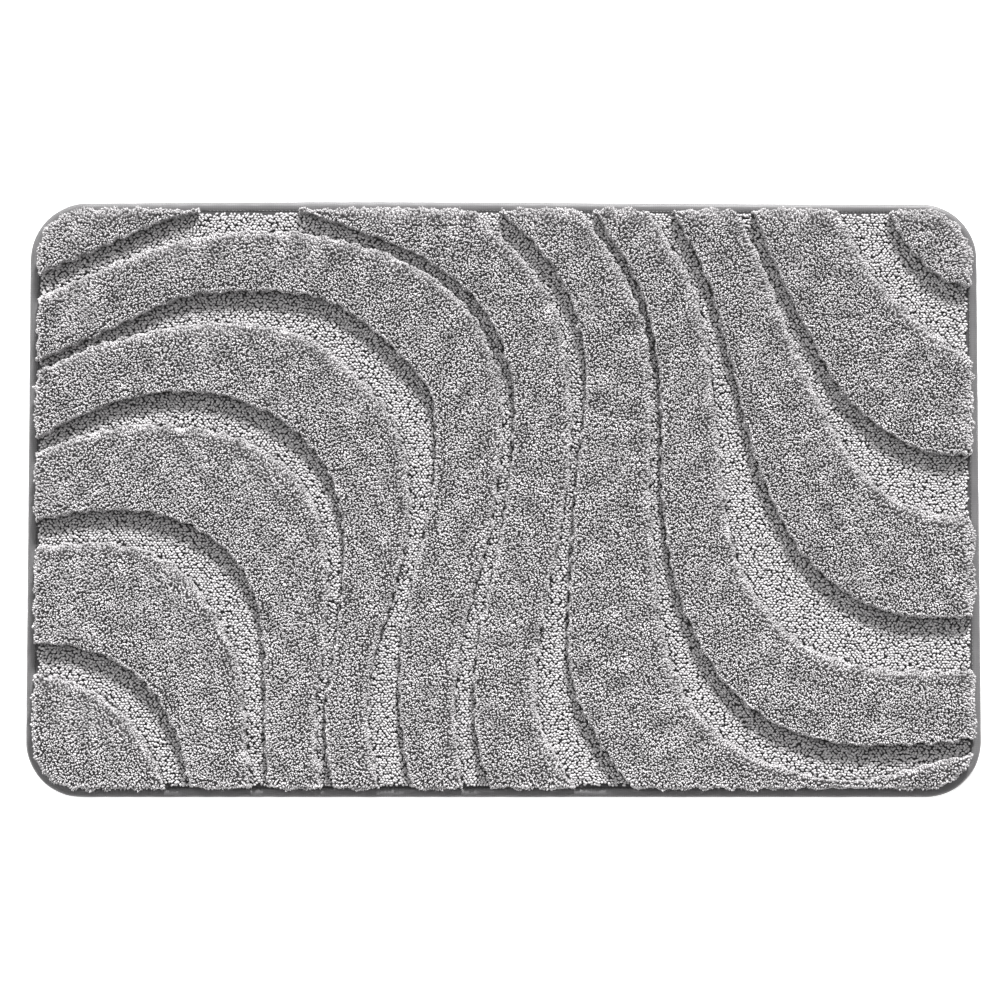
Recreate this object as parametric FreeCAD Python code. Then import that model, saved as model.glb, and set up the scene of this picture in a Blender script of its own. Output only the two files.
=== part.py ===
"""A tufted bath mat: high cut-pile bands and low loop-pile grooves on a woven cloth, with a
non-slip backing and a folded tape sewn round the edge.

Millimetres. The origin is the middle of the underside, +X runs along the mat, +Z points up.
"""
import FreeCAD, Part
import os

from FreeCAD import Vector

# The whole mat
mat_length = 800.0
mat_width = 500.0
corner_r = 47.0

# The layers, from the floor up
backing_t = 1.4
latex_t = 0.7
cloth_t = 0.6
low_pile_h = 7.0
high_pile_h = 18.0

# The folded tape round the edge
tape_t = 0.7
tape_lift = 0.15  # the tape clears the floor, so that the mat stands on its backing
wrap_t = 1.2  # tape and turned-in hem outside the edge of the layers
top_flange_w = 8.0
under_flange_w = 9.0
binding_top = 5.4
top_nose_r = 2.8
under_nose_r = 1.1

# The lockstitch that holds the tape
thread_d = 0.5
thread_proud = 0.15  # how far each thread stands out of the tape
seam_margin = 1.0  # from the seam to the top flange's inner edge, under the outermost tufts

# The pattern was drawn for a mat of this size, and stretches with the mat.
drawn_length = 800.0
drawn_width = 500.0
# Each groove is a line of (x, y, width), which starts and ends outside the pile.
grooves = {
    "groove_01": [(-412, -134, 26), (-372, -137, 28), (-327, -153, 32), (-296, -184, 30),
                  (-278, -220, 24), (-268, -262, 20)],
    "groove_02": [(-415, -36, 20), (-372, -27, 24), (-307, -26, 31), (-265, -42, 37),
                  (-230, -79, 38), (-214, -122, 26), (-208, -170, 18), (-200, -262, 15)],
    "groove_03": [(-415, 33, 11), (-385, 47, 13), (-336, 67, 20), (-269, 75, 30),
                  (-205, 59, 30), (-155, 12, 24), (-141, -50, 14), (-146, -125, 9),
                  (-153, -178, 8), (-151, -215, 9), (-143, -262, 9)],
    "groove_04": [(-415, 99, 5), (-370, 121, 8), (-315, 143, 13), (-270, 157, 25),
                  (-215, 161, 28), (-150, 148, 37), (-110, 117, 38), (-78, 78, 38),
                  (-70, 35, 25), (-70, -3, 17), (-87, -86, 14), (-100, -165, 26),
                  (-91, -239, 27), (-86, -262, 27)],
    "groove_05": [(-415, 168, 18), (-389, 180, 18), (-331, 206, 18), (-265, 229, 21),
                  (-200, 236, 22), (-134, 223, 12), (-69, 198, 10), (-18, 152, 10),
                  (3, 87, 12), (1, 22, 9), (-10, -44, 10), (-26, -109, 14),
                  (-32, -175, 16), (-15, -262, 26)],
    "groove_06": [(-32, 262, 14), (-12, 240, 15), (29, 199, 16), (56, 143, 16),
                  (63, 85, 13), (59, 25, 7), (50, -50, 14), (42, -118, 24),
                  (45, -172, 35), (81, -240, 40), (95, -262, 42)],
    "groove_07": [(52, 268, 9), (72, 240, 8), (98, 201, 8), (120, 150, 6),
                  (128, 90, 8), (128, 10, 9), (140, -92, 20), (160, -146, 31),
                  (188, -182, 34), (245, -213, 32), (298, -221, 29), (357, -213, 17),
                  (388, -208, 13), (415, -203, 11)],
    "groove_08": [(118, 266, 20), (135, 238, 17), (163, 187, 14), (180, 125, 17),
                  (192, 58, 25), (206, -8, 40), (230, -62, 53), (275, -104, 55),
                  (330, -121, 47), (390, -122, 45), (420, -122, 45)],
    "groove_09": [(190, 266, 13), (204, 240, 12), (221, 203, 10), (254, 125, 18),
                  (273, 88, 21), (296, 56, 31), (323, 30, 43), (356, 14, 50),
                  (391, 10, 54), (420, 8, 56)],
    "groove_10": [(292, 270, 42), (305, 240, 40), (318, 214, 37), (333, 193, 38),
                  (352, 173, 40), (372, 160, 46), (390, 152, 56), (415, 144, 66)],
}
# The high bands by the grooves that they lie beside, in order from the lower left corner
bands = {
    "high_band_01": {"groove_01"},
    "high_band_02": {"groove_01", "groove_02"},
    "high_band_03": {"groove_02", "groove_03"},
    "high_band_04": {"groove_03", "groove_04"},
    "high_band_05": {"groove_04", "groove_05"},
    "high_band_06": {"groove_05"},
    "high_band_07": {"groove_05", "groove_06"},
    "high_band_08": {"groove_06", "groove_07"},
    "high_band_09": {"groove_07", "groove_08"},
    "high_band_10": {"groove_08", "groove_09"},
    "high_band_11": {"groove_09", "groove_10"},
    "high_band_12": {"groove_10"},
}

touch = 0.01  # two outlines closer than this lie side by side

# Heights that follow from the layers
latex_z = backing_t
cloth_z = latex_z + latex_t
pile_z = cloth_z + cloth_t
rim_z = tape_lift + tape_t  # the pinched rim of the backing lies on the tape


def outline(inset, z):
    """The mat's outline as a closed wire, moved in from the edge and up to a height."""
    x = mat_length / 2 - inset
    y = mat_width / 2 - inset
    r = corner_r - inset
    diagonal = r * (1 - 0.5**0.5)
    edges = []
    for sx, sy, turned in ((1, 1, False), (-1, 1, True), (-1, -1, False), (1, -1, True)):
        side = Vector(sx * x, sy * (y - r), z)
        middle = Vector(sx * (x - diagonal), sy * (y - diagonal), z)
        end = Vector(sx * (x - r), sy * y, z)
        ends = (end, side) if turned else (side, end)
        if edges:
            edges.append(Part.makeLine(edges[-1].Vertexes[-1].Point, ends[0]))
        edges.append(Part.Arc(ends[0], middle, ends[1]).toShape())
    edges.append(Part.makeLine(edges[-1].Vertexes[-1].Point, edges[0].Vertexes[0].Point))
    return Part.Wire(edges)


def slab(inset, low, high):
    """A flat layer of the mat's shape between two heights."""
    return Part.Face(outline(inset, low)).extrude(Vector(0, 0, high - low))


def outer_edges(shape, z):
    """The edges that run round the mat's outline at a height."""
    x = mat_length / 2
    y = mat_width / 2
    found = []
    for edge in shape.Edges:
        box = edge.BoundBox
        level = abs(box.ZMin - z) < 1e-4 and abs(box.ZMax - z) < 1e-4
        reach = max(box.XMax - x, -x - box.XMin, box.YMax - y, -y - box.YMin)
        if level and reach > -1e-3:
            found.append(edge)
    return found


def seam_thread(z):
    """One thread of the seam, as a tube round the mat."""
    inset = top_flange_w - seam_margin
    path = outline(inset, z)
    start = path.Edges[0].Vertexes[0].Point
    ring = Part.Wire(Part.makeCircle(thread_d / 2, start, Vector(0, 1, 0)))
    return path.makePipeShell([ring], True, True)


def edge_binding(threads):
    """The folded tape: a rounded C-section round the layers, grooved by its threads."""
    tape = slab(0, tape_lift, binding_top)
    tape = tape.makeFillet(top_nose_r, outer_edges(tape, binding_top))
    tape = tape.makeFillet(under_nose_r, outer_edges(tape, tape_lift))
    window = slab(top_flange_w, pile_z, binding_top + 1)
    layers = slab(wrap_t, rim_z, pile_z)
    under = slab(under_flange_w, tape_lift - 1, rim_z)
    return tape.cut([window, layers, under] + threads)


def nonslip_backing():
    """Moulded rubber, full thickness on the floor and pinched thin where the tape holds it."""
    return slab(under_flange_w, 0, backing_t).fuse(slab(wrap_t, rim_z, backing_t)).removeSplitter()


def smooth_line(points):
    """A smooth curve through points."""
    curve = Part.BSplineCurve()
    curve.interpolate(points)
    return curve


def groove_face(stations):
    """One groove's area on the pile's plane, between two smooth edges."""
    stretch_x = mat_length / drawn_length
    stretch_y = mat_width / drawn_width
    centres = [Vector(x * stretch_x, y * stretch_y, pile_z) for x, y, _ in stations]
    line = smooth_line(centres)
    left = []
    right = []
    for centre, (_, _, width) in zip(centres, stations):
        along = line.tangent(line.parameter(centre))[0]
        across = Vector(-along.y, along.x, 0) * (width / 2)
        left.append(centre + across)
        right.append(centre - across)
    sides = [smooth_line(left).toShape(), smooth_line(right).toShape()]
    ends = [Part.makeLine(left[0], right[0]), Part.makeLine(left[-1], right[-1])]
    return Part.Face(Part.Wire(Part.__sortEdges__(sides + ends)))


def pile_areas():
    """The faces of the low grooves and of the high bands, by name."""
    field = Part.Face(outline(top_flange_w, pile_z))
    strips = {name: groove_face(stations) for name, stations in grooves.items()}
    low = {name: field.common(strip) for name, strip in strips.items()}
    name_by_sides = {frozenset(sides): name for name, sides in bands.items()}
    high = {}
    for face in field.cut(list(strips.values())).Faces:
        beside = frozenset(name for name, strip in strips.items() if face.distToShape(strip)[0] < touch)
        high[name_by_sides[beside]] = face
    return low, high


def build():
    """Every piece of the mat, by name."""
    needle = seam_thread(binding_top + thread_proud - thread_d / 2)
    bobbin = seam_thread(tape_lift - thread_proud + thread_d / 2)
    pieces = {
        "nonslip_backing": nonslip_backing(),
        "latex_coat": slab(wrap_t, latex_z, cloth_z),
        "primary_backing": slab(wrap_t, cloth_z, pile_z),
        "edge_binding": edge_binding([needle, bobbin]),
        "needle_thread": needle,
        "bobbin_thread": bobbin,
    }
    low, high = pile_areas()
    for name, face in low.items():
        pieces["low_" + name] = face.extrude(Vector(0, 0, low_pile_h))
    for name, face in high.items():
        pieces[name] = face.extrude(Vector(0, 0, high_pile_h))
    return pieces


os.makedirs("parts", exist_ok=True)
for name, shape in build().items():
    box = shape.optimalBoundingBox(True, False)
    low_corner = [round(v, 2) for v in (box.XMin, box.YMin, box.ZMin)]
    high_corner = [round(v, 2) for v in (box.XMax, box.YMax, box.ZMax)]
    print(name, len(shape.Solids), shape.isValid(), round(shape.Volume), low_corner, high_corner)
    shape.exportStep("parts/" + name + ".step")
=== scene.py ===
"""The looks of a tufted bath mat: cut-pile bands, loop-pile grooves, edge tape, seam and backing.

Everything is in metres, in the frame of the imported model.
"""
import math

import bpy
import numpy as np
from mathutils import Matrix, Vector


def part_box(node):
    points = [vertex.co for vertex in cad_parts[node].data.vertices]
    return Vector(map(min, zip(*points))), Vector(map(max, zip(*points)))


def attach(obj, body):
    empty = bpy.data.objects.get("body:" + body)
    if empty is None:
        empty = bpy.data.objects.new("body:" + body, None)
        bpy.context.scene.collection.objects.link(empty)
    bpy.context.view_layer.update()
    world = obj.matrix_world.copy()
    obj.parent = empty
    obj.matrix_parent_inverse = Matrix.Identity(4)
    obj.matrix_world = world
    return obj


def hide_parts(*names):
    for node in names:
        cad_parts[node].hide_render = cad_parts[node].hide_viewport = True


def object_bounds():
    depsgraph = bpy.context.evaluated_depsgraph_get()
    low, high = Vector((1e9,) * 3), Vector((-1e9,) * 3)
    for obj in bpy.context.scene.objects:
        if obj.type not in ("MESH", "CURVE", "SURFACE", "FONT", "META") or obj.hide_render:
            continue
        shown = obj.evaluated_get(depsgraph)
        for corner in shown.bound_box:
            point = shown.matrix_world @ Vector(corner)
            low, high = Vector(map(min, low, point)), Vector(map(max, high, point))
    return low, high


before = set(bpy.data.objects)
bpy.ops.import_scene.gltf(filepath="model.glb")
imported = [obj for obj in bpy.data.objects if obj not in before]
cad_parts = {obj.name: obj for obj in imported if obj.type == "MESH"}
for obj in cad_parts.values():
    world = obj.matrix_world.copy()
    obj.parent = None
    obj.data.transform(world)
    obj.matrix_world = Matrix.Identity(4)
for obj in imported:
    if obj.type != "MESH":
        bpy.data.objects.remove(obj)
cad_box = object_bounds()

mm = 0.001
full_turn = 2 * math.pi
# Guards against dividing by a length, or a squared length, of nothing
no_length = 1e-12
no_length2 = 1e-18

# Heights and edges that the frame gives
half_length = cad_box[1].x
half_width = cad_box[1].y
cloth_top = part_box("primary_backing")[1].z
low_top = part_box("low_groove_05")[1].z
high_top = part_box("high_band_05")[1].z
pile_inset = half_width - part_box("low_groove_05")[1].y
tape_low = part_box("edge_binding")[0].z
tape_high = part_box("edge_binding")[1].z
rubber_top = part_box("nonslip_backing")[1].z
wrap = half_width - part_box("nonslip_backing")[1].y

# The corners' radius, which is the model's
corner_r = 47 * mm

# The far edge, which bows out where it was stretched in sewing
far_bow = 2.2 * mm
bow_middle = -120 * mm
bow_reach = 260 * mm
bow_fade = 14

# The folded tape: its section, its unfolded size and the ripple of a sewn edge
tape_t = 0.7 * mm
under_flange = 9 * mm
under_flat = 5 * mm
hem_cut = 0.4 * mm
hem_rise = 0.3 * mm
crown_inset = 4.2 * mm
nose_z = 2.4 * mm
nose_r = 1.3 * mm
inner_z = 3.3 * mm
tape_step = 1.5 * mm
ripple_h = 0.12 * mm
ripple_size = 22 * mm
ripple_out = 0.35
ripple_edge = 2.5 * mm
tape_seed = 21

# The cut pile: its tufts, how far they stray, and how they lean in swirls, whose turns are radians
tuft_gap = 1.6 * mm
tuft_r = 0.9 * mm
tuft_depth = 7 * mm
tuft_stray = 0.3 * tuft_gap
tuft_r_spread = 0.12
tip_sink = 0.2 * mm
tip_spread = 0.4 * mm
tuft_lean = 1.2 * mm
lean_spread = 0.5 * tuft_lean
lean_at_bend = 0.25
bend_depth = 0.35
swirl_size = 60 * mm
swirl_turn = 1.1
swirl_middle = -2.0
nap_seed = 7

# The way the nap was brushed, and how that changes a band's two sides
nap = np.array([0.6, 0.8])
brushed_splay = 0.4
brushed_reach = 0.6
brushed_drop = 0.35
brushed_over = 1.2 * mm
# Painted shade that darkens the tips on the side the nap was brushed towards, the side that faces the key
# light
lit_side_painted_shade = 0.18

# A band's rounded shoulder, where its tufts splay, stand ragged and grow plumper
shoulder_reach = 8.5 * mm
shoulder_most = 1.6 * shoulder_reach
shoulder_drop = 3.4 * mm
shoulder_curve = 1.7
splay_reach = 10 * mm
splay_most = 4.4 * mm
splay_back = 0.4 * mm
edge_calm = 0.75
edge_plump = 0.15
edge_lumps = 1.1 * mm
lump_size = 12 * mm
ragged = 0.5 * mm

# How far the pile hangs over the tape in the middle of a band, and is drawn back beside a groove
overhang = 1.9 * mm
lobe_range = (0.6, 1.4)
drawn_back = 2.6 * mm
lobe_reach = 16 * mm
border = 1 * mm

# The tufts of a band's sides, in levels up the wall
side_gap = 1.9 * mm
side_foot = 1.5 * mm
side_border = 1.5 * mm
side_spread = 0.5 * mm
side_back = 0.5 * mm
side_depth = 3.0 * mm
side_root = 2.6 * mm
side_bend = 0.6 * mm
side_bend_depth = 2.2 * mm
side_clear = 1.4 * tuft_r
side_plump = 1.05

# One cut end: where its rings stand along it, how thick it is there, and how uneven
end_stops = np.array([0.3, 0.89])
end_taper = np.array([1.0, 0.8])
end_sides = 4
end_uneven = 0.16

# The bands' tones: how they change from tuft to tuft, and how they drift over the mat
tone_spread = 0.09
tone_drift = 0.1
tone_size = 24 * mm

# The loop pile: its rows, how its loops stray, and how it is sunk beside the walls and painted darker
# there as painted shade
row_gap = 2.05 * mm
stitch_gap = 2.7 * mm
row_stray = 0.22 * row_gap
row_swirl = 0.45
row_swirl_size = 30 * mm
row_seed = 11
heading_spread = 0.5
height_spread = 0.35 * mm
wall_reach = 3.5 * mm
wall_sink = 1.1 * mm
wall_painted_shade = 0.2
tape_gap = 1.8 * mm
loop_tone_spread = 0.08

# One loop: an arch whose ends turn loop_dive degrees from its top, past upright and into the bed
loop_length = 3.2 * mm
loop_r = 1.0 * mm
loop_arch = 1.4 * mm
loop_length_spread = 0.10
loop_r_spread = 0.08
loop_dive = 108
loop_plump = 1.04
loop_thin = 0.16
loop_sides = 6
loop_rings = 6

# The dense yarn under the tips, coloured with the roots' painted shade and darkened a little more by its
# tone
bed_step = 1 * mm
bed_shaded_tone = 0.9
band_bed_inset = 2.4 * mm
band_bed_drop = 1.35 * shoulder_drop
band_bed_clear = 0.8 * mm
loop_bed = 3.4 * mm

# The seam
seam_inset = pile_inset - 1.0 * mm
stitch_length = 2.7 * mm
stitch_pitch = 3.2 * mm
stitch_dip = 0.35 * mm
stitch_stray = 0.05 * mm
stitch_pinch = 0.45
stitch_run = 0.5 * mm
stitch_rings = 7
stitch_sides = 8
stitch_seed = 31
thread_r = 0.25 * mm

# The moulded backing: its dots, and each dot's rings as (share of its radius, height)
grip_pitch = 10 * mm
grip_r = 2.1 * mm
grip_h = 0.5 * mm
grip_profile = ((1.0, grip_h + 0.1 * mm), (0.9, 0.12 * mm), (0.6, 0.0))
grip_sides = 8
grip_border = 1.5 * grip_r
backing_step = 4 * mm

band_seed = 100
groove_seed = 200


# Small helpers


def linear(hex_colour):
    """An sRGB hex colour as linear RGBA."""
    parts = [int(hex_colour[i : i + 2], 16) / 255 for i in (1, 3, 5)]
    return [c / 12.92 if c <= 0.04045 else ((c + 0.055) / 1.055) ** 2.4 for c in parts] + [1.0]


def add(tree, kind, settings=None, inputs=None):
    """Adds a node with its settings, and gives each input a value or a link."""
    made = tree.nodes.new(kind)
    for name, value in (settings or {}).items():
        setattr(made, name, value)
    for name, value in (inputs or {}).items():
        if isinstance(value, bpy.types.NodeSocket):
            tree.links.new(value, made.inputs[name])
        else:
            made.inputs[name].default_value = value
    return made


def new_material(name, **surface):
    """An empty material with a Principled surface, its output and an object-space coordinate."""
    material = bpy.data.materials.new(name)
    material.use_nodes = True
    tree = material.node_tree
    tree.nodes.clear()
    shader = add(tree, "ShaderNodeBsdfPrincipled", inputs=surface)
    add(tree, "ShaderNodeOutputMaterial", inputs={"Surface": shader.outputs["BSDF"]})
    place = add(tree, "ShaderNodeTexCoord").outputs["Object"]
    return material, tree, shader, place


def unit(vectors):
    """Vectors scaled to a length of one."""
    return vectors / np.maximum(np.linalg.norm(vectors, axis=-1, keepdims=True), no_length)


def batches(points):
    """The points in batches small enough to be measured against a whole outline at once."""
    most = 2000
    return np.array_split(points, len(points) // most + 1)


def drift(points, size, rng):
    """A smooth random field over the mat, about -1 to 1, whose hills are about size apart."""
    total = np.zeros(len(points))
    waves = 7
    shortest, longest = 0.7, 1.6
    for _ in range(waves):
        heading = rng.uniform(0, full_turn)
        pace = full_turn / (size * rng.uniform(shortest, longest))
        along = points[:, 0] * math.cos(heading) + points[:, 1] * math.sin(heading)
        total += np.sin(along * pace + rng.uniform(0, full_turn))
    return total / math.sqrt(waves / 2)


def bowed(points):
    """Points moved out with the bow of the far edge, which fades towards the middle of the mat."""
    bow = far_bow * np.exp(-(((points[:, 0] - bow_middle) / bow_reach) ** 2))
    share = np.clip(points[:, 1] / half_width, 0, 1) ** bow_fade
    return points + np.column_stack([0 * bow, bow * share, 0 * bow])


def round_steps(sides):
    """Directions spaced evenly round a full turn."""
    return full_turn * np.arange(sides) / sides


def tube_walls(rings, sides):
    """Four-cornered faces over a tube whose points go round each ring in turn."""
    side = np.arange(sides)
    beside = (side + 1) % sides
    wall = np.stack([side, beside, beside + sides, side + sides], 1)
    return np.concatenate([wall + sides * row for row in range(rings - 1)])


def repeated(faces, count, own):
    """The faces of one shape for each of its copies, which have so many points of their own."""
    start = (np.arange(count) * own)[:, None, None]
    return (faces[None] + start).reshape(-1, faces.shape[1])


class Yarn:
    """Collects strands and the bed under them into one mesh, with each point's tone and depth."""

    def __init__(self):
        self.points = []
        self.faces = []
        self.tints = []
        self.count = 0

    def add(self, points, tone, depth, *faces):
        """Adds points with their tone and depth, and the faces over them: rows of corner numbers,
        in one array for each number of corners."""
        self.points.append(points)
        self.faces += [np.asarray(rows) + self.count for rows in faces]
        tint = np.ones((len(points), 4), np.float32)
        tint[:, 0] = tone
        tint[:, 1] = depth
        self.tints.append(tint)
        self.count += len(points)

    def piece(self, name, material, slot, *nodes):
        """The finished piece, which stands for its CAD nodes."""
        mesh = bpy.data.meshes.new(name)
        points = bowed(np.concatenate(self.points)).astype(np.float32)
        mesh.vertices.add(len(points))
        mesh.vertices.foreach_set("co", points.ravel())
        corners = np.concatenate([f.ravel() for f in self.faces]).astype(np.int32)
        widths = np.concatenate([np.full(len(f), f.shape[1]) for f in self.faces])
        mesh.loops.add(len(corners))
        mesh.loops.foreach_set("vertex_index", corners)
        mesh.polygons.add(len(widths))
        mesh.polygons.foreach_set("loop_start", (np.cumsum(widths) - widths).astype(np.int32))
        # Only flat faces have more than four corners, and they keep sharp edges
        mesh.polygons.foreach_set("use_smooth", widths <= 4)
        mesh.update(calc_edges=True)
        tint = mesh.attributes.new("yarn", "FLOAT_COLOR", "POINT")
        tint.data.foreach_set("color", np.concatenate(self.tints).ravel())
        made = bpy.data.objects.new(name, mesh)
        bpy.context.scene.collection.objects.link(made)
        mesh.materials.append(material)
        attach(made, "root")
        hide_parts(*nodes)
        return made


# Outlines


def footprint(node):
    """The outline of a pile solid seen from above, as points in order round it."""
    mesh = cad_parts[node].data
    same_place = 0.01 * mm
    places = np.array([v.co for v in mesh.vertices])
    top = places[:, 2].max() - same_place
    keys = np.round(places[:, :2] / same_place).astype(int)
    same = np.unique(keys, axis=0, return_inverse=True)[1].ravel()
    after = {}
    for face in mesh.polygons:
        corners = list(face.vertices)
        if all(places[c, 2] > top for c in corners):
            ring = [(int(same[c]), c) for c in corners]
            for (a, first), (b, _) in zip(ring, ring[1:] + ring[:1]):
                if after.pop((b, a), None) is None:
                    after[a, b] = first
    following = {a: (b, place) for (a, b), place in after.items()}
    start = next(iter(following))
    outline = []
    at = start
    while not outline or at != start:
        at, place = following[at]
        outline.append(places[place, :2])
    return np.array(outline)


def inside(points, outline):
    """Which points lie inside an outline."""
    x, y = points[:, :1], points[:, 1:]
    a, b = outline, np.roll(outline, -1, 0)
    crossed = (a[:, 1] > y) != (b[:, 1] > y)
    rise = b[:, 1] - a[:, 1]
    rise = np.where(np.abs(rise) < no_length, no_length, rise)
    at = a[:, 0] + (y - a[:, 1]) / rise * (b[:, 0] - a[:, 0])
    return (crossed & (x < at)).sum(1) % 2 == 1


def to_edge(points, outline):
    """Each point's distance from an outline, and the level direction straight to it."""
    a = outline
    run = np.roll(outline, -1, 0) - a
    length2 = np.maximum((run**2).sum(1), no_length2)
    gaps, ways = [], []
    for batch in batches(points):
        from_a = batch[:, None] - a
        share = np.clip((from_a * run).sum(2) / length2, 0, 1)
        reach = a + share[:, :, None] * run - batch[:, None]
        gap = np.linalg.norm(reach, axis=2)
        nearest = gap.argmin(1)
        rows = np.arange(len(batch))
        gaps.append(gap[rows, nearest])
        ways.append(unit(reach[rows, nearest]))
    return np.concatenate(gaps), np.concatenate(ways)


def half_breadth(points, gap, way, outline, most):
    """About half of the outline's breadth across each point, and never more than most."""
    least = 0.1 * mm
    probe = points - way * most
    beyond, back = to_edge(probe, outline)
    held = inside(probe, outline)
    across = gap + most + np.where(held, beyond, -beyond)
    facing = (back * way).sum(1) > 0
    return np.where(held & facing, most, np.clip(across / 2, least, most))


def stations(outline, gap):
    """Points spaced evenly round an outline, with the outward direction at each."""
    fewest = 8
    closed = np.vstack([outline, outline[:1]])
    steps = np.linalg.norm(np.diff(closed, axis=0), axis=1)
    travelled = np.concatenate([[0], np.cumsum(steps)])
    at = np.linspace(0, travelled[-1], max(int(travelled[-1] / gap), fewest), endpoint=False)
    points = np.stack([np.interp(at, travelled, closed[:, i]) for i in (0, 1)], 1)
    which = np.searchsorted(travelled, at, side="right") - 1
    run = unit(np.diff(closed, axis=0)[np.clip(which, 0, len(steps) - 1)])
    turning = (closed[:-1, 0] * closed[1:, 1] - closed[1:, 0] * closed[:-1, 1]).sum()
    outward = np.stack([run[:, 1], -run[:, 0]], 1) * np.sign(turning)
    return points, outward


def inset_from_edge(points):
    """How far points lie inside the mat's own rounded outline."""
    past = np.abs(points) - (np.array([half_length, half_width]) - corner_r)
    outside = np.linalg.norm(np.maximum(past, 0), axis=1)
    return corner_r - outside - np.minimum(past.max(1), 0)


def round_the_mat(inset, gap):
    """Points round the mat at an inset, the outward direction at each, and the distance travelled."""
    x, y, r = half_length - inset, half_width - inset, corner_r - inset
    points, outward = [], []
    for quarter, (sx, sy) in enumerate(((1, 1), (-1, 1), (-1, -1), (1, -1))):
        centre = np.array([sx * (x - r), sy * (y - r)])
        turn = full_turn / 4 * (quarter + np.linspace(0, 1, int(full_turn / 4 * corner_r / gap) + 1))
        way = np.stack([np.cos(turn), np.sin(turn)], 1)
        points.append(centre + r * way)
        outward.append(way)
        straight = 2 * (x - r) if quarter % 2 == 0 else 2 * (y - r)
        count = int(straight / gap)
        share = np.linspace(0, 1, count + 1)[1:-1, None]
        along = np.array([-way[-1, 1], way[-1, 0]])
        points.append(points[-1][-1] + along * straight * share)
        outward.append(np.repeat(way[-1:], count - 1, 0))
    points, outward = np.concatenate(points), np.concatenate(outward)
    steps = np.linalg.norm(np.roll(points, -1, 0) - points, axis=1)
    return points, outward, np.cumsum(steps) - steps


# Yarn shapes


def cut_ends(yarn, root, bend, tip, radius, tone, rng):
    """Cut yarn ends: tapered tubes that curve from root to tip and close in a soft point."""
    count, stops, sides = len(root), len(end_stops), end_sides
    t = end_stops[None, :, None]
    line = (1 - t) ** 2 * root[:, None] + 2 * t * (1 - t) * bend[:, None] + t**2 * tip[:, None]
    along = unit((1 - t) * (bend - root)[:, None] + t * (tip - bend)[:, None])
    # A strand with no lean still needs a level direction
    lean = (tip - root)[:, :2] + 1e-9
    level = unit(np.stack([-lean[:, 1], lean[:, 0], np.zeros(count)], 1))[:, None]
    level = np.broadcast_to(level, along.shape)
    upper = np.cross(along, level)
    turn = full_turn * (np.arange(sides)[None] + rng.random((count, 1))) / sides
    turn = turn[:, None, :, None]
    uneven = 1 + end_uneven * rng.standard_normal((count, stops, sides, 1))
    reach = radius[:, None, None, None] * end_taper[None, :, None, None] * uneven
    ring = line[:, :, None] + reach * (np.cos(turn) * level[:, :, None] + np.sin(turn) * upper[:, :, None])
    points = np.concatenate([ring.reshape(count, -1, 3), tip[:, None]], 1)
    own = stops * sides + 1
    last = sides * (stops - 1)
    side = np.arange(sides)
    cap = np.stack([side + last, (side + 1) % sides + last, np.full(sides, own - 1)], 1)
    walls = repeated(tube_walls(stops, sides), count, own)
    caps = repeated(cap, count, own)
    depths = np.tile(np.append(np.repeat(end_stops, sides), 1.0), count)
    yarn.add(points.reshape(-1, 3), np.repeat(tone, own), depths, walls, caps)


def uncut_loops(yarn, top, heading, length, radius, tone):
    """Uncut loops: plump arches of yarn whose two ends dive into the bed."""
    rings, sides = loop_rings, loop_sides
    sweep = np.radians(np.linspace(-loop_dive, loop_dive, rings))[None, :, None]
    thinner = loop_thin * np.abs(np.linspace(-1, 1, rings)) ** 2
    plump = (loop_plump - thinner)[None, :, None, None]
    forward = np.stack([np.cos(heading), np.sin(heading), np.zeros(len(heading))], 1)[:, None]
    level = np.stack([-np.sin(heading), np.cos(heading), np.zeros(len(heading))], 1)[:, None]
    up = np.array([0.0, 0.0, 1.0])
    span = (length / 2 - radius)[:, None, None]
    middle = top[:, None] - up * (radius + loop_arch)[:, None, None]
    line = middle + forward * span * np.sin(sweep) + up * loop_arch * np.cos(sweep)
    along = unit(forward * span * np.cos(sweep) - up * loop_arch * np.sin(sweep))
    upper = np.cross(along, np.broadcast_to(level, along.shape))
    turn = round_steps(sides)[None, None, :, None]
    reach = radius[:, None, None, None] * plump
    ring = line[:, :, None] + reach * (np.cos(turn) * level[:, :, None] + np.sin(turn) * upper[:, :, None])
    below = (top[:, None, None, 2] - ring[..., 2]) / (loop_arch + 2 * loop_r)
    depths = np.clip(1 - below, 0, 1).reshape(-1)
    own = rings * sides
    walls = repeated(tube_walls(rings, sides), len(top), own)
    yarn.add(ring.reshape(-1, 3), np.repeat(tone, own), depths, walls)


def bed(yarn, outline, inset, low, high):
    """The dense yarn under the tips: a closed block with the outline's shape, moved in a little."""
    edge, outward = stations(outline, bed_step)
    rim = edge - outward * inset
    if inset:
        # Past the middle of a narrow end the rim would cross itself, so its points there are left out
        clear = 0.95 * inset
        rim = rim[inside(rim, outline) & (to_edge(rim, outline)[0] > clear)]
    count = len(rim)
    points = np.vstack([np.column_stack([rim, np.full(count, z)]) for z in (low, high)])
    side = np.arange(count)
    # The bed has a root's depth, so it takes the roots' painted shade, and its tone darkens it further
    yarn.add(points, bed_shaded_tone, 0.0, tube_walls(2, count), (side + count)[None], side[::-1][None])


def scattered(outline, across, along, loose, rng):
    """Tuft places in the machine's rows over an outline's area, each a little out of line."""
    low, high = outline.min(0), outline.max(0)
    rows = np.arange(math.floor(low[1] / across), math.ceil(high[1] / across) + 1)
    steps = np.arange(math.floor(low[0] / along) - 1, math.ceil(high[0] / along) + 2)
    grid = np.stack(np.meshgrid(steps * along, rows * across), -1)
    grid[1::2, :, 0] += along / 2
    places = grid.reshape(-1, 2)
    places = places + rng.normal(0, loose, places.shape)
    return places[inside(places, outline)]


# The pile


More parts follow.
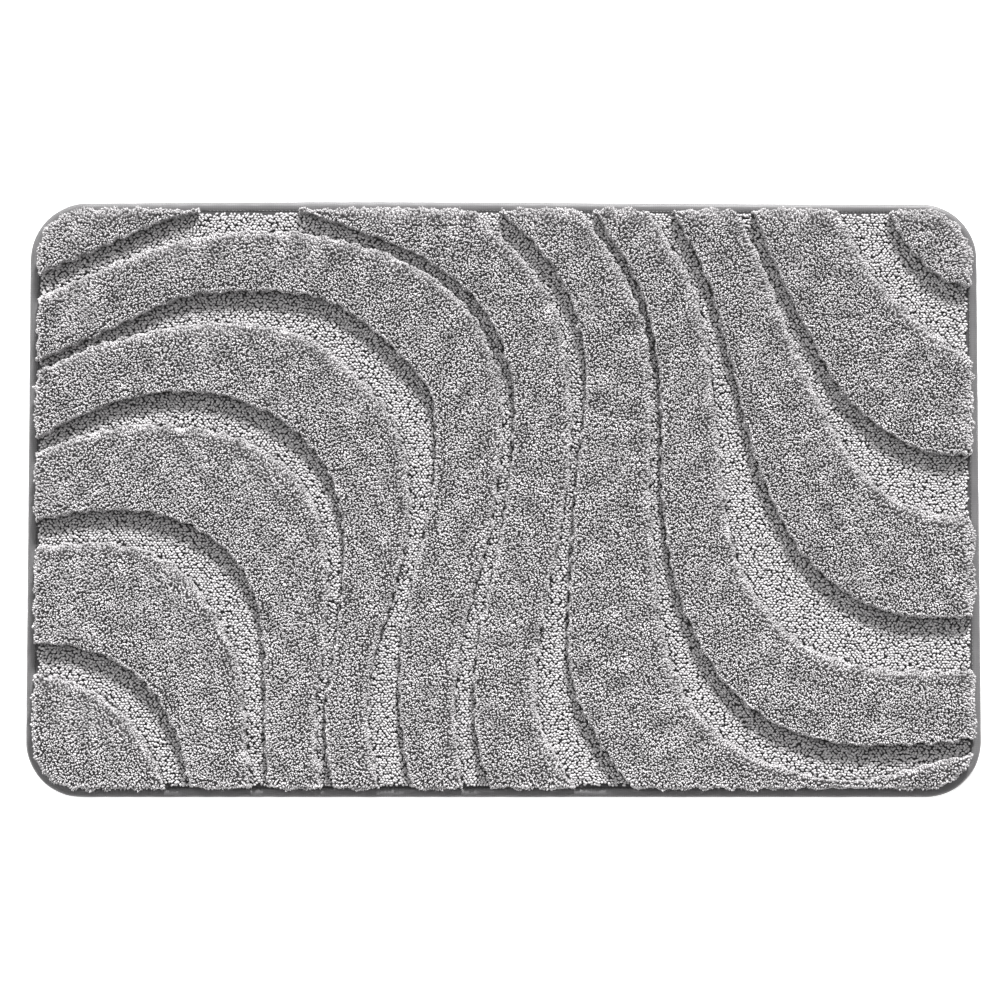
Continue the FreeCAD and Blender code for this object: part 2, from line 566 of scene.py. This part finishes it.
def over_tape(points, outward, outline, lobe):
    """How far a band's tips hang over the tape: most in the middle of its end, least by a groove,
    and fading out away from the tape."""
    ring = stations(outline, 2 * border)[0]
    ring = ring[inset_from_edge(ring) > pile_inset + border]
    away = [np.linalg.norm(b[:, None] - ring, axis=2).min(1) for b in batches(points)]
    full = 1 - (1 - np.clip(np.concatenate(away) / lobe_reach, 0, 1)) ** 2
    far_side = brushed_over * np.maximum(outward @ nap, 0)
    at_border = np.clip(1 - (inset_from_edge(points) - pile_inset) / splay_reach, 0, 1) ** 0.5
    return at_border * ((lobe + drawn_back) * full - drawn_back + far_side)


def crown(gap, brushed, breadth):
    """How high a band's pile stands at a distance from its edge: rounder on the side that the nap
    was brushed towards, and crisper on the other."""
    reach = np.minimum(shoulder_reach * (1 + brushed_reach * brushed), breadth)
    near = 1 - np.clip(gap / reach, 0, 1)
    return high_top - shoulder_drop * (1 + brushed_drop * brushed) * near**shoulder_curve


def edge_lump(points, seed):
    """How far a band's edge stands out or in at each point, in soft lumps."""
    return edge_lumps * drift(points, lump_size, np.random.default_rng(seed + 1))


def band_top(node, outline, material, seed, rng):
    """The top of one high band: leaning cut tufts over a dense bed. Gives the band's overhang."""
    places = scattered(outline, tuft_gap, tuft_gap, tuft_stray, rng)
    gap, way = to_edge(places, outline)
    brushed = way @ nap
    breadth = half_breadth(places, gap, way, outline, shoulder_most)
    reach = np.minimum(splay_reach * (1 + brushed_splay * brushed), breadth)
    near = np.clip(1 - gap / reach, 0, 1)[:, None]
    swirl = swirl_turn * drift(places, swirl_size, np.random.default_rng(nap_seed)) + swirl_middle
    flow = np.stack([np.cos(swirl), np.sin(swirl)], 1) * tuft_lean
    flow += rng.normal(0, lean_spread, flow.shape)
    lobe = overhang * rng.uniform(*lobe_range)
    over = over_tape(places, way, outline, lobe)
    splay = np.minimum(splay_most * (1 + brushed_splay * brushed) * near[:, 0], gap / 2)
    splay += (edge_lump(places, seed) + over - splay_back) * near[:, 0] ** 2
    lean = flow * (1 - edge_calm * near) + way * splay[:, None]
    lean += rng.normal(0, ragged, lean.shape) * near
    height = crown(gap, brushed, breadth) + rng.normal(-tip_sink, tip_spread, len(gap))
    tip = np.column_stack([places + lean, height])
    root = np.column_stack([places, height - tuft_depth])
    bend = np.column_stack([places + lean_at_bend * lean, height - bend_depth * tuft_depth])
    radius = tuft_r * rng.normal(1, tuft_r_spread, len(gap)) * (1 + edge_plump * near[:, 0])
    tone = 1 + tone_spread * rng.standard_normal(len(gap)) + tone_drift * drift(places, tone_size, rng)
    # Tips near the edge that faces the light are painted darker: painted shade
    tone -= lit_side_painted_shade * near[:, 0] * np.maximum(brushed, 0)
    top = Yarn()
    cut_ends(top, root, bend, tip, radius, tone, rng)
    bed(top, outline, band_bed_inset, cloth_top, high_top - band_bed_drop - band_bed_clear)
    top.piece(node + "_pile", material, "cut_pile", node)
    return lobe


def band_sides(node, outline, material, seed, rng, lobe):
    """The sides of one high band: tufts that splay out of its walls, level by level."""
    sides = Yarn()
    for z in np.arange(cloth_top + side_foot, high_top - shoulder_drop, side_gap):
        spots, out = stations(outline, tuft_gap)
        slide = rng.normal(0, tuft_stray, len(spots))[:, None]
        spots = spots + np.stack([-out[:, 1], out[:, 0]], 1) * slide
        # Beside a groove, the loops hide the lower levels
        by_groove = inset_from_edge(spots) > pile_inset + side_border
        shown = ~by_groove | (z > low_top - 2 * side_gap)
        spots, out = spots[shown], out[shown]
        z_tip = z + rng.normal(0, side_spread, len(spots))
        over = over_tape(spots, out, outline, lobe) * (z - cloth_top) / (high_top - cloth_top)
        lumps = edge_lump(spots, seed)
        reach = (lumps + over - side_back + rng.normal(0, ragged, len(spots)))[:, None]
        tip = np.column_stack([spots + out * reach, z_tip])
        deep = np.maximum(z_tip - side_depth, cloth_top + side_clear)
        root = np.column_stack([spots - out * side_root, deep])
        bend = np.column_stack([spots - out * side_bend, np.maximum(z_tip - side_bend_depth, deep)])
        radius = tuft_r * rng.normal(side_plump, tuft_r_spread, len(spots))
        # Wall tufts that face the light are painted darker: painted shade
        shade = lit_side_painted_shade * np.maximum(out @ nap, 0)
        tone = 1 + tone_spread * rng.standard_normal(len(spots)) - shade
        cut_ends(sides, root, bend, tip, radius, tone, rng)
    sides.piece(node + "_sides", material, "cut_pile", node)


def cut_pile(node, material, seed):
    """One high band of cut tufts."""
    rng = np.random.default_rng(seed)
    outline = footprint(node)
    lobe = band_top(node, outline, material, seed, rng)
    band_sides(node, outline, material, seed, rng, lobe)


def loop_pile(node, material, seed):
    """One low groove, full of uncut loops in slightly wandering rows, pressed down beside its walls, with
    painted shade there.
    """
    rng = np.random.default_rng(seed)
    outline = footprint(node)
    yarn = Yarn()
    places = scattered(outline, row_gap, stitch_gap, row_stray, rng)
    places = places[inset_from_edge(places) > pile_inset + tape_gap]
    count = len(places)
    beside_wall = np.clip(1 - to_edge(places, outline)[0] / wall_reach, 0, 1)
    swirl = row_swirl * drift(places, row_swirl_size, np.random.default_rng(row_seed))
    heading = swirl + rng.normal(0, heading_spread, count)
    height = low_top + rng.normal(0, height_spread, count) - wall_sink * beside_wall
    length = loop_length * rng.normal(1, loop_length_spread, count)
    radius = loop_r * rng.normal(1, loop_r_spread, count)
    # Loops beside a wall are painted darker: painted shade where the wall shades them
    tone = 1 + loop_tone_spread * rng.standard_normal(count) - wall_painted_shade * beside_wall
    uncut_loops(yarn, np.column_stack([places, height]), heading, length, radius, tone)
    bed(yarn, outline, 0, cloth_top, low_top - loop_bed)
    yarn.piece(node + "_loops", material, "loop_pile", node)


# Tape, seam and backing


def tape_section():
    """The folded tape's section as (inset, height) points, from the under flange round the nose."""
    quarter = full_turn / 4
    under = [(under_flange, tape_low + tape_t), (under_flange, tape_low + hem_rise)]
    under += [(under_flange - hem_cut, tape_low), (under_flat, tape_low)]
    nose = [
        (nose_r - nose_r * math.sin(a), tape_low + nose_r - nose_r * math.cos(a))
        for a in np.linspace(0, quarter, 5)
    ]
    roll = [
        (crown_inset - crown_inset * math.cos(a), nose_z + (tape_high - nose_z) * math.sin(a))
        for a in np.linspace(0, quarter, 10)
    ]
    fall_r = pile_inset - crown_inset
    fall = [
        (crown_inset + fall_r * math.sin(a), inner_z + (tape_high - inner_z) * math.cos(a))
        for a in np.linspace(0, quarter, 8)[1:]
    ]
    core = [(pile_inset, cloth_top), (wrap, cloth_top), (wrap, tape_low + tape_t)]
    return np.array(under + nose + roll + fall + core)


def edge_tape(material):
    """The knitted tape: its section swept round the mat, with the slight ripple of a sewn edge."""
    section = tape_section()
    path, outward, travelled = round_the_mat(0, tape_step)
    ripple = ripple_h * drift(path, ripple_size, np.random.default_rng(tape_seed))[:, None]
    up = np.clip((section[:, 1] - nose_z) / (tape_high - nose_z), 0, 1)
    out = (section[:, 0] < ripple_edge) * (section[:, 1] > nose_r)
    inset = section[:, 0] + ripple_out * ripple * out
    height = section[:, 1] + ripple * up
    places = path[:, None] - outward[:, None] * inset[:, :, None]
    points = np.concatenate([places, height[:, :, None]], 2).reshape(-1, 3)
    ring, count = len(section), len(path)
    a = np.arange(count)[:, None] * ring
    b = (np.arange(count)[:, None] + 1) % count * ring
    k = np.arange(ring)
    after = (k + 1) % ring
    faces = np.stack([a + k, b + k, b + after, a + after], 2).reshape(-1, 4)
    tape = Yarn()
    tape.add(points, 1.0, 1.0, faces)
    made = tape.piece("edge_tape", material, "edge_tape", "edge_binding")
    steps = np.linalg.norm(np.diff(section, axis=0, append=section[:1]), axis=1)
    across = np.cumsum(steps) - steps
    wales = made.data.uv_layers.new(name="tape")
    run = travelled[:, None] + 0 * across
    uv = np.stack([run, 0 * run + across], 2).reshape(-1, 2)
    corner = np.zeros(len(made.data.loops), np.int32)
    made.data.loops.foreach_get("vertex_index", corner)
    wales.data.foreach_set("uv", uv[corner].astype(np.float32).ravel())


def seam(name, node, height, material):
    """One face of the lockstitch: a row of short, sunk stitches round the mat."""
    rng = np.random.default_rng(stitch_seed)
    rings, sides = stitch_rings, stitch_sides
    path, outward, travelled = round_the_mat(seam_inset, stitch_run)
    total = travelled[-1]
    count = int(total / stitch_pitch)
    starts = np.arange(count) * total / count
    share = np.linspace(0, 1, rings)
    at = starts[:, None] + share * stitch_length
    x, y = (np.interp(at, travelled, path[:, i]) for i in (0, 1))
    out = np.stack([np.interp(at, travelled, outward[:, i]) for i in (0, 1)], 2)
    out = np.concatenate([unit(out), np.zeros((count, rings, 1))], 2)
    # Both ends of a stitch dip into the mat, from whichever face it is on
    dip = -stitch_dip * (2 * share - 1) ** 4 * (1 if height > cloth_top else -1)
    line = np.stack([x, y, np.broadcast_to(height + dip, x.shape)], 2)
    line = line + out * rng.normal(0, stitch_stray, (count, 1, 1))
    turn = round_steps(sides)[:, None]
    plump = (thread_r * (1 - stitch_pinch * np.abs(2 * share - 1) ** 3))[None, :, None, None]
    up = np.array([0.0, 0.0, 1.0])
    ring = line[:, :, None] + plump * (np.cos(turn) * out[:, :, None] + np.sin(turn) * up)
    own = rings * sides
    side = np.arange(sides)
    ends = np.stack([side[::-1], side + sides * (rings - 1)])
    walls = repeated(tube_walls(rings, sides), count, own)
    thread = Yarn()
    thread.add(ring.reshape(-1, 3), 1.0, 1.0, walls, repeated(ends, count, own))
    thread.piece(name, material, "thread", node)


def moulded_sheet(sheet):
    """The rubber sheet itself, thin at its rim, where the tape's under flange lies."""
    rim_low = tape_low + tape_t
    section = np.array([
        (wrap, rim_low),
        (wrap, rubber_top),
        (under_flange, rubber_top),
        (under_flange, grip_h),
        (under_flange, rim_low),
    ])
    path, outward, _ = round_the_mat(0, backing_step)
    places = path[:, None] - outward[:, None] * section[:, :1]
    heights = np.broadcast_to(section[:, 1], places.shape[:2])[:, :, None]
    points = np.concatenate([places, heights], 2).reshape(-1, 3)
    ring, count = len(section), len(path)
    a = np.arange(count) * ring
    b = np.roll(a, -1)
    walls = [
        np.stack([a + first, a + second, b + second, b + first], 1)
        for first, second in ((0, 1), (1, 2), (4, 0), (3, 4))
    ]
    sheet.add(points, 1.0, 1.0, *walls, (a + 2)[None], (a + 3)[::-1][None])


def grip_dots(sheet):
    """Rows of raised dots under the rubber sheet, which touch the floor."""
    row_rise = grip_pitch * math.sqrt(3) / 2
    rows = int(2 * half_width / row_rise)
    columns = int(2 * half_length / grip_pitch)
    row, column = np.meshgrid(np.arange(rows + 1), np.arange(columns + 1), indexing="ij")
    x = (column - columns / 2 + 0.5 * (row % 2)) * grip_pitch
    y = (row - rows / 2) * row_rise
    centres = np.stack([x.ravel(), y.ravel()], 1)
    centres = centres[inset_from_edge(centres) > under_flange + grip_border]
    dot = np.array([
        [share * grip_r * math.cos(t), share * grip_r * math.sin(t), z]
        for share, z in grip_profile
        for t in round_steps(grip_sides)
    ])
    dots = dot[None] + np.concatenate([centres, np.zeros((len(centres), 1))], 1)[:, None]
    walls = tube_walls(len(grip_profile), grip_sides)[:, ::-1]
    foot = (np.arange(grip_sides) + grip_sides * (len(grip_profile) - 1))[::-1]
    walls = repeated(walls, len(centres), len(dot))
    feet = repeated(foot[None], len(centres), len(dot))
    sheet.add(dots.reshape(-1, 3), 1.0, 0.0, walls, feet)


def grip_backing(material):
    """The moulded rubber backing with its dots, as one piece."""
    sheet = Yarn()
    moulded_sheet(sheet)
    grip_dots(sheet)
    sheet.piece("grip_backing", material, "grip_rubber", "nonslip_backing")


# Materials


def yarn_material(name, root, tip, roughness, strand_width):
    """Microfibre polyester yarn: painted shade, deep between the strands at their roots, paler tips, and a
    soft sheen from its fine filaments."""
    material, tree, shader, place = new_material(
        name,
        **{
            "Roughness": roughness,
            "Specular IOR Level": 0.06,
            "Sheen Weight": 0.04,
            "Sheen Roughness": 0.45,
            "Sheen Tint": linear("#ffffff"),
        },
    )
    tint = add(tree, "ShaderNodeAttribute", {"attribute_name": "yarn"})
    parts = add(tree, "ShaderNodeSeparateColor", inputs={"Color": tint.outputs["Color"]})
    # Each point's colour runs from the root colour to the tip colour with its depth in the pile: painted
    # shade, darker the deeper it lies
    depth = add(
        tree, "ShaderNodeMapRange", {"interpolation_type": "SMOOTHSTEP"},
        {"Value": parts.outputs["Green"], "From Min": 0.25, "From Max": 0.95},
    )
    shade = add(
        tree, "ShaderNodeMix", {"data_type": "RGBA"},
        {0: depth.outputs["Result"], 6: linear(root), 7: linear(tip)},
    )
    toned = add(
        tree, "ShaderNodeVectorMath", {"operation": "SCALE"},
        {0: shade.outputs[2], "Scale": parts.outputs["Red"]},
    )
    tree.links.new(toned.outputs["Vector"], shader.inputs["Base Color"])
    # The filaments of one strand, finer than a strand is wide
    filament_size = strand_width * 0.45
    filaments = add(
        tree, "ShaderNodeTexNoise", {},
        {"Vector": place, "Scale": 1 / filament_size, "Detail": 3.0, "Roughness": 0.6},
    )
    bump = add(
        tree, "ShaderNodeBump", {},
        {"Height": filaments.outputs["Fac"], "Distance": 0.35 * mm, "Strength": 0.7},
    )
    tree.links.new(bump.outputs["Normal"], shader.inputs["Normal"])
    return material


def knitted_tape_material():
    """Fine knitted polyester tape: smooth and slightly shiny, with tiny wales across the fold."""
    material, tree, shader, place = new_material(
        "knitted_polyester_tape",
        **{
            "Roughness": 0.48,
            "Specular IOR Level": 0.55,
            "Sheen Weight": 0.25,
            "Sheen Roughness": 0.35,
        },
    )
    # Drawn a little coarser than real wales and courses, which are too fine to show
    wale_gap = 0.9 * mm
    course_gap = 0.7 * mm
    blotch_size = 18 * mm
    uv = add(tree, "ShaderNodeUVMap", {"uv_map": "tape"}).outputs["UV"]
    wales, courses = (
        add(
            tree, "ShaderNodeTexWave", {"bands_direction": way},
            {"Vector": uv, "Scale": 1 / gap / full_turn, "Distortion": 0.6, "Detail": 1.0},
        )
        for way, gap in (("X", wale_gap), ("Y", course_gap))
    )
    knit = add(
        tree, "ShaderNodeMath", {"operation": "MULTIPLY"},
        {0: wales.outputs["Fac"], 1: courses.outputs["Fac"]},
    )
    wear = add(tree, "ShaderNodeTexNoise", {}, {"Vector": place, "Scale": 1 / blotch_size, "Detail": 2.0})
    mottled = add(
        tree, "ShaderNodeMix", {"data_type": "RGBA"},
        {0: wear.outputs["Fac"], 6: linear("#626162"), 7: linear("#6e6d6e")},
    )
    threads = add(
        tree, "ShaderNodeMapRange", {},
        {"Value": knit.outputs["Value"], "To Min": 0.86, "To Max": 1.06},
    )
    toned = add(
        tree, "ShaderNodeVectorMath", {"operation": "SCALE"},
        {0: mottled.outputs[2], "Scale": threads.outputs["Result"]},
    )
    tree.links.new(toned.outputs["Vector"], shader.inputs["Base Color"])
    bump = add(
        tree, "ShaderNodeBump", {},
        {"Height": knit.outputs["Value"], "Distance": 0.12 * mm, "Strength": 0.5},
    )
    tree.links.new(bump.outputs["Normal"], shader.inputs["Normal"])
    return material


def sewing_thread_material():
    """Spun polyester sewing thread: a tight diagonal twist."""
    twist_pitch = 0.5 * mm
    material, tree, shader, place = new_material(
        "spun_polyester_thread", **{"Roughness": 0.55, "Sheen Weight": 0.2}
    )
    twist = add(
        tree, "ShaderNodeTexWave", {"bands_direction": "DIAGONAL"},
        {"Vector": place, "Scale": 1 / twist_pitch / full_turn, "Distortion": 0.4},
    )
    tone = add(
        tree, "ShaderNodeMix", {"data_type": "RGBA"},
        {0: twist.outputs["Fac"], 6: linear("#6f6e6f"), 7: linear("#8c8b8b")},
    )
    tree.links.new(tone.outputs[2], shader.inputs["Base Color"])
    return material


def woven_cloth_material():
    """Woven polypropylene tape cloth: flat slit tapes over and under, with a dull plastic shine."""
    slit_tape = 2.4 * mm
    material, tree, shader, place = new_material(
        "woven_polypropylene_cloth", **{"Roughness": 0.5, "Specular IOR Level": 0.4}
    )
    weave = add(
        tree, "ShaderNodeTexBrick", {"offset": 0.5},
        {
            "Vector": place,
            "Color1": linear("#a9a69d"),
            "Color2": linear("#989589"),
            "Mortar": linear("#5f5d57"),
            "Scale": 1 / slit_tape,
            "Mortar Size": 0.06,
            "Brick Width": 1.0,
            "Row Height": 0.5,
        },
    )
    tree.links.new(weave.outputs["Color"], shader.inputs["Base Color"])
    # The gaps between the slit tapes lie lower, and the weave gives them the larger value
    bump = add(
        tree, "ShaderNodeBump", {"invert": True},
        {"Height": weave.outputs["Fac"], "Distance": 0.15 * mm},
    )
    tree.links.new(bump.outputs["Normal"], shader.inputs["Normal"])
    return material


def latex_material():
    """Dried latex coat: creamy, matt and slightly pitted where it was foamed."""
    pit_size = 1.6 * mm
    material, tree, shader, place = new_material(
        "foamed_latex_coat", **{"Roughness": 0.78, "Specular IOR Level": 0.3}
    )
    pits = add(tree, "ShaderNodeTexVoronoi", {}, {"Vector": place, "Scale": 1 / pit_size})
    # The pits are painted darker towards their hollows: painted shade
    tone = add(
        tree, "ShaderNodeMix", {"data_type": "RGBA"},
        {0: pits.outputs["Distance"], 6: linear("#b9b29c"), 7: linear("#cfc9b6")},
    )
    tree.links.new(tone.outputs[2], shader.inputs["Base Color"])
    bump = add(
        tree, "ShaderNodeBump", {},
        {"Height": pits.outputs["Distance"], "Distance": 0.2 * mm},
    )
    tree.links.new(bump.outputs["Normal"], shader.inputs["Normal"])
    return material


def grip_rubber_material():
    """Moulded thermoplastic rubber: grey, soft gloss, with the fine grain of its mould."""
    cloud_size = 30 * mm
    grain_size = 0.8 * mm
    material, tree, shader, place = new_material(
        "moulded_thermoplastic_rubber", **{"Roughness": 0.5, "Specular IOR Level": 0.45}
    )
    cloud = add(tree, "ShaderNodeTexNoise", {}, {"Vector": place, "Scale": 1 / cloud_size, "Detail": 4.0})
    tone = add(
        tree, "ShaderNodeMix", {"data_type": "RGBA"},
        {0: cloud.outputs["Fac"], 6: linear("#8a8a8b"), 7: linear("#a09fa0")},
    )
    tree.links.new(tone.outputs[2], shader.inputs["Base Color"])
    grain = add(tree, "ShaderNodeTexNoise", {}, {"Vector": place, "Scale": 1 / grain_size, "Detail": 2.0})
    bump = add(
        tree, "ShaderNodeBump", {},
        {"Height": grain.outputs["Fac"], "Distance": 0.06 * mm, "Strength": 0.6},
    )
    tree.links.new(bump.outputs["Normal"], shader.inputs["Normal"])
    return material


# The studio


def camera():
    """A long lens nearly straight above, tipped a little towards the near edge."""
    distance, tilt, aside, back = 3.0, math.radians(4.0), -3.1 * mm, 0.6 * mm
    lens = bpy.data.cameras.new("camera")
    lens.lens = 128.2
    lens.sensor_width = 36
    lens.clip_end = 60
    made = bpy.data.objects.new("camera", lens)
    made.location = (aside, -distance * math.sin(tilt) - back, distance * math.cos(tilt))
    made.rotation_euler = (tilt, 0, 0)
    bpy.context.scene.collection.objects.link(made)
    bpy.context.scene.camera = made


def paper_floor():
    """A round, pale floor that sweeps up at its far edge, so that no horizon shows in a low view."""
    around = 64
    # Each ring's radius and height
    sweep = ((26.0, -0.1 * mm), (29.0, 0.6), (31.0, 2.2), (32.0, 4.5), (32.2, 7.0))
    corners = [(r * math.cos(a), r * math.sin(a), z) for r, z in sweep for a in round_steps(around)]
    faces = [tuple(range(around))] + tube_walls(len(sweep), around).tolist()
    mesh = bpy.data.meshes.new("floor")
    mesh.from_pydata(corners, [], faces)
    floor = bpy.data.objects.new("floor", mesh)
    bpy.context.scene.collection.objects.link(floor)
    paper, _, _, _ = new_material(
        "white_paper_floor",
        **{
            "Base Color": linear("#f4f4f4"),
            "Roughness": 0.9,
            "Specular IOR Level": 0.1,
            "Emission Color": linear("#ffffff"),
            "Emission Strength": 0.65,
        },
    )
    mesh.materials.append(paper)


def lights():
    """A low soft key light from the far right, and an even fill."""
    # Each sun's name, strength, width, azimuth and elevation
    for name, energy, width, azimuth, elevation in (("key", 6.8, 9, 78, 30), ("side", 1.2, 45, 135, 34)):
        sun = bpy.data.lights.new(name, "SUN")
        sun.energy = energy
        sun.angle = math.radians(width)
        lamp = bpy.data.objects.new(name, sun)
        lamp.rotation_euler = (0, math.radians(90 - elevation), math.radians(azimuth))
        bpy.context.scene.collection.objects.link(lamp)

    soft = bpy.data.lights.new("overhead", "AREA")
    soft.size = 3.0
    soft.energy = 40
    box = bpy.data.objects.new("overhead", soft)
    box.location = (0, 0, 3.8)
    bpy.context.scene.collection.objects.link(box)

    world = bpy.data.worlds.new("studio")
    world.use_nodes = True
    sky = world.node_tree.nodes["Background"]
    sky.inputs["Color"].default_value = linear("#ffffff")
    sky.inputs["Strength"].default_value = 0.13
    bpy.context.scene.world = world
    bpy.context.scene.view_settings.view_transform = "Standard"


# The mat


def pile():
    """Every band and groove of the wave pattern."""
    # Each yarn's root colour is its tip colour darkened as painted shade
    cut = yarn_material("cut_microfibre_polyester", "#868485", "#c4c2c3", 0.95, 1.2 * mm)
    looped = yarn_material("looped_microfibre_polyester", "#525152", "#cecccd", 0.9, 1.4 * mm)
    nodes = sorted(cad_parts)
    for seed, node in enumerate([n for n in nodes if n.startswith("high_band")], band_seed):
        cut_pile(node, cut, seed)
    for seed, node in enumerate([n for n in nodes if n.startswith("low_groove")], groove_seed):
        loop_pile(node, looped, seed)


def lockstitch():
    """The seam that holds the tape: needle stitches on its slope, and bobbin stitches beneath."""
    thread = sewing_thread_material()
    fall = math.sqrt(1 - ((seam_inset - crown_inset) / (pile_inset - crown_inset)) ** 2)
    seam("needle_stitches", "needle_thread", inner_z + (tape_high - inner_z) * fall, thread)
    seam("bobbin_stitches", "bobbin_thread", thread_r, thread)


def hidden_layers():
    """The cloth and the latex coat, which keep their CAD shapes."""
    for node, material in (("primary_backing", woven_cloth_material()), ("latex_coat", latex_material())):
        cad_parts[node].data.materials.clear()
        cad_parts[node].data.materials.append(material)


camera()
paper_floor()
lights()
pile()
edge_tape(knitted_tape_material())
lockstitch()
grip_backing(grip_rubber_material())
hidden_layers()
